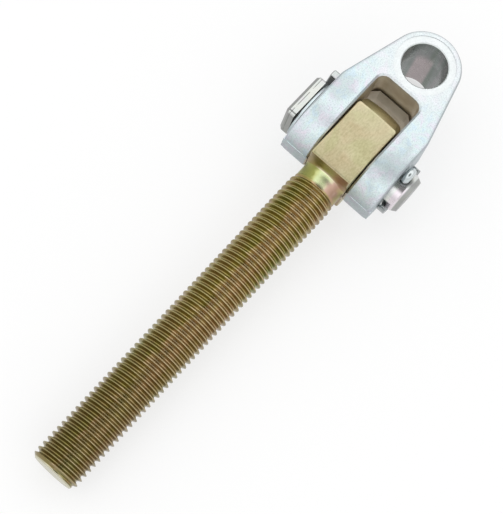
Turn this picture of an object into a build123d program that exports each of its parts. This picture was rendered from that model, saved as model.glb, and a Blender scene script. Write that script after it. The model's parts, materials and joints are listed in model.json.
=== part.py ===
"""Swivelling clevis rod end: a threaded rod with a forged knuckle, pinned in a forged fork.

Each piece is built in its own frame with the pivot at the origin, X towards the fork's eye, Y along the
pivot and Z square to the fork's faces. The pieces are then set down as the part lies on a flat surface:
the fork flat, the rod sloping down to its free end. All sizes are in millimetres.
"""

import os

from build123d import *
from math import asin, atan2, cos, degrees, hypot, radians, sin, sqrt, tan

# ---- driving dimensions -------------------------------------------------------------------------------

# threaded shank, rolled on a blank of the neck's diameter: 1 3/8 in, 6 threads per inch
SHANK_D = 34.925            # major diameter of the thread
NECK_D = 32.0               # plain neck between the thread and the knuckle
ROD_LENGTH = 292.0          # free end to the pivot
NECK_LENGTH = 10.0          # end of the thread to the knuckle's shoulder
END_CHAMFER = 3.0           # on the free end
RUNOUT_CHAMFER = 1.4        # where the thread meets the neck

# knuckle, the flat-sided eye at the end of the rod
KNUCKLE_R = 33.1            # rounded end about the pivot
KNUCKLE_THICK = 54.0        # over its two flats
KNUCKLE_WIDTH = 33.0        # along the pivot
KNUCKLE_CROWN = 1.6         # how far the rounded end falls away at its sides
KNUCKLE_CORNER = 2.4        # chamfer along those sides
KNUCKLE_SHOULDER = 29.6     # pivot to the shoulder on the rod's side
KNUCKLE_EDGE = 1.2          # rounding of its long edges
SHOULDER_FLARE = 2.2        # neck to shoulder

# fork, forged in two dies that part at the middle of its thickness
FORK_THICK = 60.0           # over its faces, and the diameter of its rounded ear ends
FORK_WIDTH = 76.0           # over the ears at the parting plane
DRAFT_DEG = 1.5             # lean of every side wall, both ways from the parting plane
SIDE_GAP = 0.5              # knuckle to each ear at the parting plane
THROAT_DEPTH = 42.9         # pivot to the throat's end at the parting plane
THROAT_CORNER = 6.0
SHOULDER_X = 25.0           # where the flanks start to run in towards the eye
SHOULDER_R = 16.0
EYE_DISTANCE = 66.7         # pivot to the eye's bore
EYE_R = 26.3                # outside of the eye at the parting plane
BORE_D = 32.0
BORE_CHAMFER = 0.8
SPOT_D = 43.0               # machined face round the bore
SPOT_DEPTH = 0.4
FLASH_WIDTH = 13.0          # land at the parting plane where the flash was trimmed off
FLASH_STAND = 0.8           # how far the land stands into the throat
FLASH_CORNER = 4.5          # its corners in the throat, cut at 45 degrees
FLASH_REACH = 7.0           # its length along the ears, from their ends
OUTER_ROUND = 2.6           # rounding of the outer edges
SLOT_CHAMFER = 1.3          # along the slot's edges

# lug on one ear that keeps the pin's head from turning
LUG_GAP = 3.6               # head to lug
LUG_THICK = 7.0
LUG_STAND = 6.2             # out from the ear
LUG_HEIGHT = 36.0
LUG_DRAFT_DEG = 3.0
LUG_ROUND = 1.2

# pivot pin with a square plate head
PIN_D = 30.0
PIN_CLEARANCE = 0.06        # radial, in the knuckle and in the ears
HEAD_SQUARE = 35.0
HEAD_THICK = 7.0
HEAD_BEVEL = 2.0
HEAD_CORNER = 3.0
HEAD_GAP = 3.5              # end play, between the head and its ear
PIN_TAIL = 8.2              # split pin's centre to the pin's end
PIN_CHAMFER = 4.2           # along the pin
PIN_CHAMFER_DEPTH = 2.4     # across it

# split pin, one half-round wire folded flat to flat
SPLIT_HOLE_D = 6.3
SPLIT_PLAY = 0.1            # radial, in its hole
WIRE_SIDES = 4              # facets on the wire's round side
LEG_GAP = 0.3               # between the two flats
SPLIT_SEAT = 0.15           # split pin to the ear
SPLIT_LEAN_DEG = 9.0        # its hole leans towards the eye
LOOP_R = 3.2                # inside of its loop
NECK_BEND_R = 4.0           # where the legs spread into the loop, at the flat
LEG_BEND_R = 4.0            # where the legs leave the hole, at the flat
WRAP_GAP = 1.6              # bent legs to the pivot pin
WRAP_ROD_DEG = 84.0         # how far the rod-side leg is bent round
WRAP_EYE_DEG = 102.0        # and the eye-side leg

# setbacks of three facets, at 45 and then 22.5 and 67.5 degrees, that touch a rounding of radius 1
MIDDLE_FACET = 2 - sqrt(2)
SIDE_FACET = tan(radians(22.5)) - tan(radians(11.25))

# ---- sizes that follow --------------------------------------------------------------------------------

SHANK_R = SHANK_D / 2
NECK_R = NECK_D / 2
THREAD_END = KNUCKLE_SHOULDER + NECK_LENGTH
PIN_R = PIN_D / 2
PIN_BORE_R = PIN_R + PIN_CLEARANCE
HALF_THICK = FORK_THICK / 2
HALF_WIDTH = FORK_WIDTH / 2
HALF_SLOT = KNUCKLE_WIDTH / 2 + SIDE_GAP
HEAD_Y = HALF_WIDTH + HEAD_GAP
WIRE_R = (SPLIT_HOLE_D - LEG_GAP) / 2 - SPLIT_PLAY
SPLIT_Y = -(HALF_WIDTH + SPLIT_SEAT + WIRE_R)
PIN_END_Y = SPLIT_Y - PIN_TAIL


def across(radius, y_from, y_to):
    """A cylinder about the pivot's axis, between two stations on it."""
    return Pos(0, (y_from + y_to) / 2, 0) * Rot(90, 0, 0) * Cylinder(radius, y_to - y_from)


def upright(radius, x, z_from, z_to):
    """A cylinder square to the fork's faces."""
    return Pos(x, 0, (z_from + z_to) / 2) * Cylinder(radius, z_to - z_from)


# ---- threaded rod -------------------------------------------------------------------------------------

def shank():
    """The threaded length, at its major diameter, with its chamfered end and run-out."""
    free_end = -ROD_LENGTH
    outline = Polyline(
        (free_end, 0),
        (free_end, SHANK_R - END_CHAMFER),
        (free_end + END_CHAMFER, SHANK_R),
        (-THREAD_END - RUNOUT_CHAMFER, SHANK_R),
        (-THREAD_END, SHANK_R - RUNOUT_CHAMFER),
        (-THREAD_END, 0),
        close=True,
    )
    return revolve(make_face(Plane.XZ * outline), Axis.X)


def neck():
    """The plain neck, flared into the shoulder and trimmed to the knuckle's width."""
    shoulder = -KNUCKLE_SHOULDER
    flare_r = NECK_R + SHOULDER_FLARE
    outline = Polyline((shoulder, flare_r), (shoulder, 0), (-THREAD_END, 0), (-THREAD_END, NECK_R),
                       (shoulder - SHOULDER_FLARE, NECK_R), close=True)
    turned = revolve(make_face(Plane.XZ * outline), Axis.X)
    return turned & Pos(shoulder, 0, 0) * Box(2 * THREAD_END, KNUCKLE_WIDTH, 4 * flare_r)


def knuckle():
    """A flat-sided eye: square to the rod on one side, rounded and slightly crowned on the other."""
    side = KNUCKLE_WIDTH / 2
    rim = KNUCKLE_R - KNUCKLE_CROWN
    section = Polyline((rim, side), (0, side), (0, -side), (rim, -side))
    section += ThreePointArc((rim, -side), (KNUCKLE_R, 0), (rim, side))
    section = make_face(section)
    section = chamfer(section.vertices().group_by(Axis.X)[-1], KNUCKLE_CORNER)
    barrel = revolve(section, Axis.Y)
    cheek = Pos(-KNUCKLE_SHOULDER / 2, 0, 0) * Box(KNUCKLE_SHOULDER, 2 * side, KNUCKLE_THICK)
    stock_section = Plane.YZ * RectangleRounded(KNUCKLE_WIDTH, KNUCKLE_THICK, KNUCKLE_EDGE)
    stock = Pos(-KNUCKLE_SHOULDER, 0, 0) * extrude(stock_section, KNUCKLE_SHOULDER + KNUCKLE_R)
    return (barrel + cheek) & stock


def threaded_rod():
    """Shank, neck and knuckle in one piece, bored for the pivot pin."""
    rod = shank() + neck() + knuckle()
    return rod - across(PIN_BORE_R, -KNUCKLE_WIDTH, KNUCKLE_WIDTH)


# ---- fork ---------------------------------------------------------------------------------------------

def fork_plan():
    """The fork's outline at the parting plane, with its slot."""
    reach = EYE_DISTANCE - SHOULDER_X
    run = hypot(reach, HALF_WIDTH)
    flank = atan2(-HALF_WIDTH, reach) + asin(EYE_R / run)
    flank_length = sqrt(run**2 - EYE_R**2)
    touch = (SHOULDER_X + flank_length * cos(flank), HALF_WIDTH + flank_length * sin(flank))
    open_end = -FORK_THICK
    outline = Polyline(
        touch,
        (SHOULDER_X, HALF_WIDTH),
        (open_end, HALF_WIDTH),
        (open_end, HALF_SLOT),
        (THROAT_DEPTH, HALF_SLOT),
        (THROAT_DEPTH, -HALF_SLOT),
        (open_end, -HALF_SLOT),
        (open_end, -HALF_WIDTH),
        (SHOULDER_X, -HALF_WIDTH),
        (touch[0], -touch[1]),
    )
    outline += ThreePointArc((touch[0], -touch[1]), (EYE_DISTANCE + EYE_R, 0), touch)
    plan = make_face(outline)
    shoulders = plan.vertices().filter_by_position(Axis.X, SHOULDER_X, SHOULDER_X)
    plan = fillet(shoulders, SHOULDER_R)
    corners = plan.vertices().filter_by_position(Axis.X, THROAT_DEPTH, THROAT_DEPTH)
    return fillet(corners, THROAT_CORNER)


def lug_half():
    """Half of the lug, reaching into the ear that it stands on."""
    middle_x = HEAD_SQUARE / 2 + LUG_GAP + LUG_THICK / 2
    plan = Pos(middle_x, HALF_WIDTH) * Rectangle(LUG_THICK, 2 * LUG_STAND)
    lug = extrude(plan, LUG_HEIGHT / 2, taper=LUG_DRAFT_DEG)
    outside = lug.edges().filter_by(lambda edge: edge.center().Y > HALF_WIDTH + LUG_STAND / 2)
    corners = [edge for edge in outside if edge.bounding_box().max.Z > LUG_HEIGHT / 4]
    return fillet(corners, LUG_ROUND)


def side_view():
    """The fork seen along the pivot: ear ends rounded about it, running into two flat faces."""
    ahead = EYE_DISTANCE + 2 * EYE_R
    faces = Pos(ahead / 2, 0, 0) * Box(ahead, 2 * FORK_WIDTH, FORK_THICK)
    return across(HALF_THICK, -FORK_WIDTH, FORK_WIDTH) + faces


def rims(half, in_slot):
    """The edges round the slot, or round the outside, of a half's flat face and rounded ear ends."""
    caps = half.faces().filter_by(GeomType.CYLINDER)
    caps.append(half.faces().filter_by(Axis.Z).sort_by(Axis.Z)[-1])
    edges = [edge for cap in caps for edge in cap.edges()]
    edges = [edge for edge in edges if sum(edge.is_same(other) for other in edges) == 1]
    edges = [edge for edge in edges if edge.bounding_box().max.Z > HALF_THICK / 4]
    mid_ear = (HALF_SLOT + HALF_WIDTH) / 2
    past_throat = (THROAT_DEPTH + EYE_DISTANCE) / 2
    chosen = []
    for edge in edges:
        middle = edge.center()
        slotted = abs(middle.Y) < mid_ear and middle.X < past_throat
        if slotted == in_slot:
            chosen.append(edge)
    return chosen


def faceted_round(half, edges, radius):
    """Rounds a half's outer edges off with three facets, down to the parting plane."""
    cut = chamfer(edges, radius * MIDDLE_FACET)
    kept = half.edges()
    facets = [face for face in cut.faces()
              if not any(edge.is_same(old) for edge in face.edges() for old in kept)]
    edges = [edge for face in facets for edge in face.edges()]
    sides = [edge for edge in edges if sum(edge.is_same(other) for other in edges) == 1
             and edge.bounding_box().max.Z > HALF_THICK / 4]
    return chamfer(sides, radius * SIDE_FACET)


def die_half():
    """The half of the fork's forging above the parting plane, with its edges rounded."""
    rough = extrude(fork_plan(), HALF_THICK, taper=DRAFT_DEG)
    half = rough & side_view()
    half = faceted_round(half, rims(half, in_slot=False), OUTER_ROUND)
    half = chamfer(rims(half, in_slot=True), SLOT_CHAMFER)
    return half + lug_half()


def flash_lands():
    """Square-cornered lands left at the parting plane across the ears' ends and the throat's end."""
    end_x = -sqrt(HALF_THICK**2 - (FLASH_WIDTH / 2) ** 2)
    ear_y = (HALF_SLOT + HALF_WIDTH) / 2
    lands = [Pos(end_x + FLASH_REACH / 2, side * ear_y, 0)
             * Box(FLASH_REACH, HALF_WIDTH - HALF_SLOT, FLASH_WIDTH) for side in (1, -1)]
    face_x = THROAT_DEPTH - FLASH_STAND
    wall_y = HALF_SLOT + FLASH_STAND
    corner_y = HALF_SLOT - FLASH_CORNER
    start_x = face_x - (wall_y - corner_y)
    root_x = THROAT_DEPTH + 2 * FLASH_STAND
    outline = Polyline((root_x, wall_y), (start_x, wall_y), (face_x, corner_y), (face_x, -corner_y),
                       (start_x, -wall_y), (root_x, -wall_y), close=True)
    lands.append(extrude(make_face(outline), FLASH_WIDTH / 2, both=True))
    return end_x, lands


def fork():
    """Both die halves and the trimmed flash between them, bored and spot-faced."""
    half = die_half()
    forging = half + mirror(half, about=Plane.XY)
    end_x, lands = flash_lands()
    forging -= Pos(end_x - HALF_THICK, 0, 0) * Box(FORK_THICK, 2 * FORK_WIDTH, FORK_THICK)
    forging += lands
    forging -= across(PIN_BORE_R, -FORK_WIDTH, FORK_WIDTH)
    forging -= upright(BORE_D / 2, EYE_DISTANCE, -FORK_THICK, FORK_THICK)
    spot_z = HALF_THICK - SPOT_DEPTH
    for side in (1, -1):
        forging -= upright(SPOT_D / 2, EYE_DISTANCE, *sorted((side * spot_z, side * FORK_THICK)))
    mouths = forging.edges().filter_by(GeomType.CIRCLE)
    mouths = [edge for edge in mouths if abs(abs(edge.center().Z) - spot_z) < SPOT_DEPTH / 2
              and abs(edge.radius - BORE_D / 2) < BORE_CHAMFER]
    return chamfer(mouths, BORE_CHAMFER)


# ---- pivot pin and split pin --------------------------------------------------------------------------

def pivot_pin():
    """A round pin with a square plate head, chamfered at its other end and drilled for the split pin."""
    end_r = PIN_R - PIN_CHAMFER_DEPTH
    outline = Polyline((0, PIN_END_Y), (end_r, PIN_END_Y), (PIN_R, PIN_END_Y + PIN_CHAMFER),
                       (PIN_R, HEAD_Y), (0, HEAD_Y), close=True)
    pin = revolve(make_face(outline), Axis.Y)
    plate = extrude(Plane.XZ * RectangleRounded(HEAD_SQUARE, HEAD_SQUARE, HEAD_CORNER), -HEAD_THICK)
    plate = chamfer(plate.faces().sort_by(Axis.Y)[-1].edges(), HEAD_BEVEL)
    pin += Pos(0, HEAD_Y, 0) * plate
    hole = Cylinder(SPLIT_HOLE_D / 2, 2 * PIN_D)
    return pin - Pos(0, SPLIT_Y, 0) * Rot(0, SPLIT_LEAN_DEG, 0) * hole


def arc(centre, radius, start_deg, end_deg):
    """An arc in the plane square to the pivot; angles run from X towards Z."""
    points = []
    for angle in (start_deg, (start_deg + end_deg) / 2, end_deg):
        x = centre[0] + radius * cos(radians(angle))
        z = centre[1] + radius * sin(radians(angle))
        points.append((x, 0, z))
    return ThreePointArc(*points)


def split_pin():
    """One half-round wire: up one leg, round the loop and down the other, along its flat side."""
    half_gap = LEG_GAP / 2
    wrap_r = PIN_R + WRAP_GAP + WIRE_R
    bend_x = half_gap + LEG_BEND_R
    bend_z = -sqrt((wrap_r - LEG_BEND_R) ** 2 - bend_x**2)
    bend_deg = degrees(atan2(bend_x, -bend_z))
    spread_x = half_gap + NECK_BEND_R
    spread_z = PIN_R
    loop_z = spread_z + sqrt((NECK_BEND_R + LOOP_R) ** 2 - spread_x**2)
    spread_deg = degrees(atan2(loop_z - spread_z, spread_x))

    path = arc((0, 0), wrap_r, -90 - WRAP_ROD_DEG, -90 - bend_deg)
    path += arc((-bend_x, bend_z), LEG_BEND_R, -90 - bend_deg, 0)
    path += Line((-half_gap, 0, bend_z), (-half_gap, 0, spread_z))
    path += arc((-spread_x, spread_z), NECK_BEND_R, 0, spread_deg)
    path += arc((0, loop_z), LOOP_R, 180 + spread_deg, -spread_deg)
    path += arc((spread_x, spread_z), NECK_BEND_R, 180 - spread_deg, 180)
    path += Line((half_gap, 0, spread_z), (half_gap, 0, bend_z))
    path += arc((bend_x, bend_z), LEG_BEND_R, 180, 270 + bend_deg)
    path += arc((0, 0), wrap_r, -90 + bend_deg, -90 + WRAP_EYE_DEG)

    tip = path @ 0
    inward = -tip.normalized()
    corners = [180 * side / WIRE_SIDES for side in range(WIRE_SIDES + 1)]
    section = Polyline(*[tip + Vector(0, 1, 0) * (WIRE_R * cos(radians(corner)))
                         + inward * (WIRE_R * sin(radians(corner))) for corner in corners], close=True)
    wire = sweep(make_face(section), path=path)
    return Pos(0, SPLIT_Y, 0) * Rot(0, SPLIT_LEAN_DEG, 0) * wire


# ---- at rest on a flat surface ------------------------------------------------------------------------

def rod_slope_deg():
    """How far the rod dips so that the end of its thread touches the surface."""
    reach = ROD_LENGTH - END_CHAMFER
    return degrees(asin(HALF_THICK / hypot(reach, SHANK_R)) - atan2(SHANK_R, reach))


def assembled():
    """Every piece by name, with the origin under the middle of the part's box, and the pivot's place."""
    pieces = {
        "threaded_rod": Rot(0, -rod_slope_deg(), 0) * threaded_rod(),
        "fork": fork(),
        "pivot_pin": pivot_pin(),
        "split_pin": split_pin(),
    }
    box = Compound(list(pieces.values())).bounding_box()
    centre = box.center()
    stand = Pos(-centre.X, -centre.Y, HALF_THICK)
    return {name: stand * piece for name, piece in pieces.items()}, -centre


def main():
    os.makedirs("parts", exist_ok=True)
    pieces, pivot = assembled()
    for name, piece in pieces.items():
        export_step(piece, f"parts/{name}.step")
    slope = rod_slope_deg()
    print(f"pivot at x {pivot.X:.3f}, y {pivot.Y:.3f}, z {HALF_THICK:.3f}; rod slopes {slope:.4f} degrees")


if __name__ == "__main__":
    main()
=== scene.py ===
"""Looks of the swivelling clevis rod end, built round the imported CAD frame.

The forged fork and the pivot pin keep their CAD solids and get zinc-plated finishes. The threaded rod is
replaced by a mesh with its real helical thread, its neck's flare and rounded forging edges, and the split
pin by a smooth half-round wire. A low pad under the pin's head and a burr line on each ear's end are added.
Lengths below are in millimetres and are turned into metres where a mesh or a node is made.
"""

import json
import math

import bmesh
import bpy
import numpy as np
from mathutils import Matrix, Vector


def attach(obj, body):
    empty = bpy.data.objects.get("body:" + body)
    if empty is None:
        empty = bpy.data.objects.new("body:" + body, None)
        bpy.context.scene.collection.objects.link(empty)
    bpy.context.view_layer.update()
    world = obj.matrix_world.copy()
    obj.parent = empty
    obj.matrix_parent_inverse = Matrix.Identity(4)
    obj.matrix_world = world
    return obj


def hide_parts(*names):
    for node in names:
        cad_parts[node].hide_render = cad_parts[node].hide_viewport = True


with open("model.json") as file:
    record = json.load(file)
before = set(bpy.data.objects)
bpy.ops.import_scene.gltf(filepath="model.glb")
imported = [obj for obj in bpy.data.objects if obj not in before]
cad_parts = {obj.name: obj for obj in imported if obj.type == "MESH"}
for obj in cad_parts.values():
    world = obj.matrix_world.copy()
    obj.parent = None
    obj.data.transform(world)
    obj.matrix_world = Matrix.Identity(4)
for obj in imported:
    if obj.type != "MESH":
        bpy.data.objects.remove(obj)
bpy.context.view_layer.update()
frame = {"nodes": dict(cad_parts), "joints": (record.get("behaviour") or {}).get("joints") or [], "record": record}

MM = 0.001
SAME_POINT = 1e-6           # in metres: points this near each other are one
SAME_SEAM_POINT = 2e-6      # the same where the thread, the neck and the end face meet
NO_LENGTH = 1e-7            # in metres: edges this short are dissolved

JOINT = frame["joints"][0]
MOUNTS = {mount["name"]: mount for mount in frame["record"]["mounts"]}
PIVOT = Vector(JOINT["pos_m"])
ROD_AXIS = Vector(MOUNTS["shank"]["axis"]).normalized()      # towards the rod's free end
EYE = Vector(MOUNTS["eye_bore"]["pos_m"])

# threaded rod, in its own frame: origin at the pivot, X towards the fork's eye
THREAD_R = MOUNTS["shank"]["dims"]["r_mm"]
THREAD_PITCH = 25.4 / 6
THREAD_DEPTH = 2.5
# one pitch of the thread, root to root: (share of the pitch, share of the depth)
THREAD_PROFILE = [(0.0, 0.0), (0.09, 0.03), (0.17, 0.15), (0.38, 0.84), (0.44, 0.97),
                  (0.5, 1.0), (0.56, 0.97), (0.62, 0.84), (0.83, 0.15), (0.91, 0.03)]
TURN_STEPS = 96
FREE_END = -292.0
THREAD_END = -39.6
END_CHAMFER = 3.0
END_RING_R = 6.0            # a ring of points on the end face
RUN_OUT = 6.0               # length over which the thread fades into the neck
RUN_OUT_POWER = 0.7
NECK_R = 16.0
NECK_RINGS = 9              # rings of points along the neck, before the flare
SHOULDER = 29.6             # pivot to the knuckle's shoulder
FLARE_LENGTH = 2.0          # where the neck spreads to the knuckle's section
FLARE_RINGS = 12
FLARE_HALF_HEIGHT = 23.0
FLARE_EARLY = 0.5           # how much of it comes gently, before the last fillet
FLARE_EARLY_POWER = 4
FLARE_SQUARENESS = 7        # 2 would be an ellipse
NECK_OVERLAP = 3.0          # how far the neck's mesh goes on inside the knuckle
NECK_FLUSH = 0.04           # how far it stays inside the knuckle's side faces
KNUCKLE_R = 33.1
KNUCKLE_HALF_THICK = 27.0
KNUCKLE_HALF_WIDTH = 16.5
KNUCKLE_CROWN = 1.6
KNUCKLE_STEP_DEG = 3.0
CORNER_SPREAD = 0.07        # radians either side of a corner that get finer points
CORNER_STEPS = 23
END_BLEND = (0.05, 0.2)     # radians past the end's corner and over which the end's shape fades in
FLAT_EDGE = 1.3             # rounding along the knuckle's flats and shoulder
END_EDGE = 3.6              # rounding along its round end
EDGE_STEPS = 7
SIDE_RINGS = (-0.55, -0.25, 0.0)        # rings between its edges and its middle, as shares of the half width
KNUCKLE_BORE_R = 15.06
BORE_BEVEL = 0.5
SHOULDER_SHARPNESS = 60     # how tightly the side outline turns its corners at the shoulder
END_SHARPNESS = 260         # and where the flats meet the round end

# fork, from the pivot
SPOT_R = 21.5               # machined face round the fork's eye
FLASH_Z = 6.5               # upper edge of the trimmed flash across the ears' ends
FLASH_X = -math.sqrt(30.0**2 - FLASH_Z**2)
BURR_R = 0.45
BURR_STEPS = 8
BURR_RINGS = ((19.5, 0.3), (20.5, 1.0), (34.5, 1.0), (35.5, 0.3))      # place across the ear, share of BURR_R
LUG_X = 24.6                # middle of the lug
EAR_Y = 38.0                # outer wall of the ears
PAD_R = 22.5
PAD_STAND = 2.2
PAD_SINK = 1.2              # how far its foot goes into the ear
PAD_GAP = 0.1               # between the pad and the pivot pin
PAD_BEVEL = 0.3             # at its hole
PAD_ROUND = 0.7             # at its rim
PAD_SPREAD = 0.2            # how far past PAD_R its foot reaches

# split pin: one half-round wire folded flat to flat
WIRE_R = 2.9
WIRE_EDGE_DEG = 12          # where its round side ends and its softened edges start
WIRE_STEPS = 14
WIRE_FLAT = 0.9             # half width of its flat side, as a share of its radius
WIRE_MIDDLE = 0.42          # middle of its section, likewise
TIP_LENGTH = 1.1
TIP_RINGS = ((0.35, 0.96), (0.75, 0.8), (0.97, 0.5), (1.0, 0.0))       # share of the tip, size of the section
HALF_LEG_GAP = 0.15
PIN_R = 15.0
SPLIT_Y = -41.05            # its hole's place along the pivot
SPLIT_LEAN = math.radians(9.0)
LOOP_R = 3.2
NECK_BEND_R = 4.0
LEG_BEND_R = 4.0
WRAP_R = PIN_R + 1.6 + WIRE_R
WRAP_ROD_DEG = 84.0
WRAP_EYE_DEG = 102.0
ARC_STEP_DEG = 7


# ---- meshes -------------------------------------------------------------------------------------------

def turned_to(x_axis, origin):
    """The place of a piece whose X axis points along x_axis and whose Y axis is the pivot's."""
    y_axis = Vector((0, 1, 0))
    z_axis = x_axis.cross(y_axis)
    return Matrix.Translation(origin) @ Matrix((x_axis, y_axis, z_axis)).transposed().to_4x4()


ROD_PLACE = turned_to(-ROD_AXIS, PIVOT)
SPLIT_PLACE = Matrix.Translation(PIVOT + Vector((0, SPLIT_Y * MM, 0))) @ Matrix.Rotation(SPLIT_LEAN, 4, "Y")


def grid_faces(rows, columns, close_rows, close_columns):
    """Quads between the points of a grid that is numbered row by row."""
    row = np.arange(rows if close_rows else rows - 1)[:, None]
    column = np.arange(columns if close_columns else columns - 1)[None, :]
    next_row = (row + 1) % rows
    next_column = (column + 1) % columns
    corners = [row * columns + column, row * columns + next_column,
               next_row * columns + next_column, next_row * columns + column]
    return np.stack(np.broadcast_arrays(*corners), axis=-1).reshape(-1, 4)


def new_object(name, points_mm, faces, place=Matrix.Identity(4)):
    """A mesh object from points in millimetres, with doubled points merged and normals outward."""
    mesh = bpy.data.meshes.new(name)
    mesh.from_pydata((np.asarray(points_mm, float) * MM).tolist(), [], [list(map(int, face)) for face in faces])
    work = bmesh.new()
    work.from_mesh(mesh)
    bmesh.ops.remove_doubles(work, verts=work.verts, dist=SAME_POINT)
    bmesh.ops.dissolve_degenerate(work, edges=work.edges, dist=NO_LENGTH)
    bmesh.ops.recalc_face_normals(work, faces=work.faces)
    work.to_mesh(mesh)
    work.free()
    mesh.transform(place)
    obj = bpy.data.objects.new(name, mesh)
    bpy.context.scene.collection.objects.link(obj)
    return obj


def smooth(obj, sharp_deg):
    """Smooth shading, with a crease where faces meet at more than sharp_deg."""
    obj.data.shade_smooth()
    obj.data.set_sharp_from_angle(angle=math.radians(sharp_deg))


def bake_modifiers(obj):
    """Makes the object's mesh the one that its modifiers give."""
    evaluated = obj.evaluated_get(bpy.context.evaluated_depsgraph_get())
    mesh = bpy.data.meshes.new_from_object(evaluated)
    obj.modifiers.clear()
    obj.data = mesh


def revolved(profile, steps):
    """Points of a profile of (x, radius) turned about X, one row for each profile point."""
    angle = 2 * np.pi * np.arange(steps) / steps
    rows = [np.stack([np.full(steps, x), radius * np.cos(angle), radius * np.sin(angle)], axis=-1)
            for x, radius in profile]
    return np.concatenate(rows)


def thread_surface():
    """The helical thread as a sheared grid whose rows of points follow the helix."""
    shares = np.array([share for share, _ in THREAD_PROFILE])
    heights = np.array([height for _, height in THREAD_PROFILE])
    turns = int((THREAD_END - FREE_END) / THREAD_PITCH) + 3
    columns = (np.arange(turns)[:, None] + shares[None, :]).ravel()
    profile = np.tile(heights, turns)
    step = np.arange(TURN_STEPS)
    # a right-hand thread: going round from Y to Z moves along +X
    along = FREE_END + THREAD_PITCH * (columns[None, :] - 1 + step[:, None] / TURN_STEPS)
    radius = np.broadcast_to(THREAD_R - THREAD_DEPTH + THREAD_DEPTH * profile, along.shape)
    x = np.clip(along, FREE_END, THREAD_END)
    fade = np.clip((THREAD_END - x) / RUN_OUT, 0, 1) ** RUN_OUT_POWER
    radius = NECK_R + (radius - NECK_R) * fade
    radius = np.minimum(radius, THREAD_R - END_CHAMFER + (x - FREE_END))
    angle = 2 * np.pi * step[:, None] / TURN_STEPS
    points = np.stack([x, radius * np.cos(angle), radius * np.sin(angle)], axis=-1)
    count = points.shape[1]
    faces = grid_faces(TURN_STEPS, count, False, False)
    # the last row of points meets the first one a whole pitch further on
    per_turn = len(THREAD_PROFILE)
    last = (TURN_STEPS - 1) * count + np.arange(count - 1 - per_turn)
    first = np.arange(count - 1 - per_turn) + per_turn
    seam = np.stack([last, last + 1, first + 1, first], axis=-1)
    return points.reshape(-1, 3), np.concatenate([faces, seam])


def end_disc():
    """The flat face at the rod's free end."""
    rings = [(FREE_END, THREAD_R - END_CHAMFER), (FREE_END, END_RING_R), (FREE_END, 0.0)]
    return revolved(rings, TURN_STEPS), grid_faces(len(rings), TURN_STEPS, False, True)


def soft_min(first, second, sharpness):
    """The smaller of two lengths, rounded off where they are nearly the same."""
    least = np.minimum(first, second)
    return least * ((first / least) ** -sharpness + (second / least) ** -sharpness) ** (-1 / sharpness)


def knuckle_outline(angle, inset):
    """Distance from the pivot to the knuckle's side outline, shrunk by inset, with softened corners."""
    flats = (KNUCKLE_HALF_THICK - inset) / np.maximum(np.abs(np.sin(angle)), 1e-3)
    shoulder = (SHOULDER - inset) / np.maximum(-np.cos(angle), 1e-3)
    round_end = np.where(np.cos(angle) > 0, KNUCKLE_R - inset, 1e3)
    return soft_min(soft_min(flats, shoulder, SHOULDER_SHARPNESS), round_end, END_SHARPNESS)


def knuckle_mesh():
    """The flat-sided eye as a closed ring: bore, side face, rounded edge, outer face and back."""
    corner = math.atan2(KNUCKLE_HALF_THICK, -SHOULDER)
    end_corner = math.asin(KNUCKLE_HALF_THICK / KNUCKLE_R)
    angles = [np.arange(0, 360, KNUCKLE_STEP_DEG) * np.pi / 180]
    for middle in (corner, -corner, end_corner, -end_corner):
        angles.append((middle + np.linspace(-CORNER_SPREAD, CORNER_SPREAD, CORNER_STEPS)) % (2 * np.pi))
    angle = np.unique(np.concatenate(angles).round(5))
    off_end = np.abs((angle + np.pi) % (2 * np.pi) - np.pi)
    past_corner, fade_angle = END_BLEND
    on_end = np.clip((end_corner + past_corner - off_end) / fade_angle, 0, 1)
    on_end = on_end * on_end * (3 - 2 * on_end)
    edge = FLAT_EDGE + (END_EDGE - FLAT_EDGE) * on_end
    crown = KNUCKLE_CROWN * on_end

    half = KNUCKLE_HALF_WIDTH
    loop = []
    for y, radius in ((-half + BORE_BEVEL, KNUCKLE_BORE_R), (-half, KNUCKLE_BORE_R + BORE_BEVEL),
                      (-half, KNUCKLE_BORE_R + 3 * BORE_BEVEL)):
        loop.append((np.full_like(angle, y), np.full_like(angle, radius)))
    for turn in np.linspace(0, np.pi / 2, EDGE_STEPS):
        y = -half + edge * (1 - np.cos(turn))
        inset = edge * (1 - np.sin(turn))
        loop.append((y, knuckle_outline(angle, crown * (y / half) ** 2 + inset)))
    for share in SIDE_RINGS:
        y = share * (half - edge)
        loop.append((y, knuckle_outline(angle, crown * (y / half) ** 2)))
    loop += [(-y, radius) for y, radius in loop[-2::-1]]
    y = np.stack([ring[0] for ring in loop], axis=1)
    radius = np.stack([ring[1] for ring in loop], axis=1)
    points = np.stack([radius * np.cos(angle)[:, None], y, radius * np.sin(angle)[:, None]], axis=-1)
    return points.reshape(-1, 3), grid_faces(len(angle), len(loop), True, True)


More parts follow.
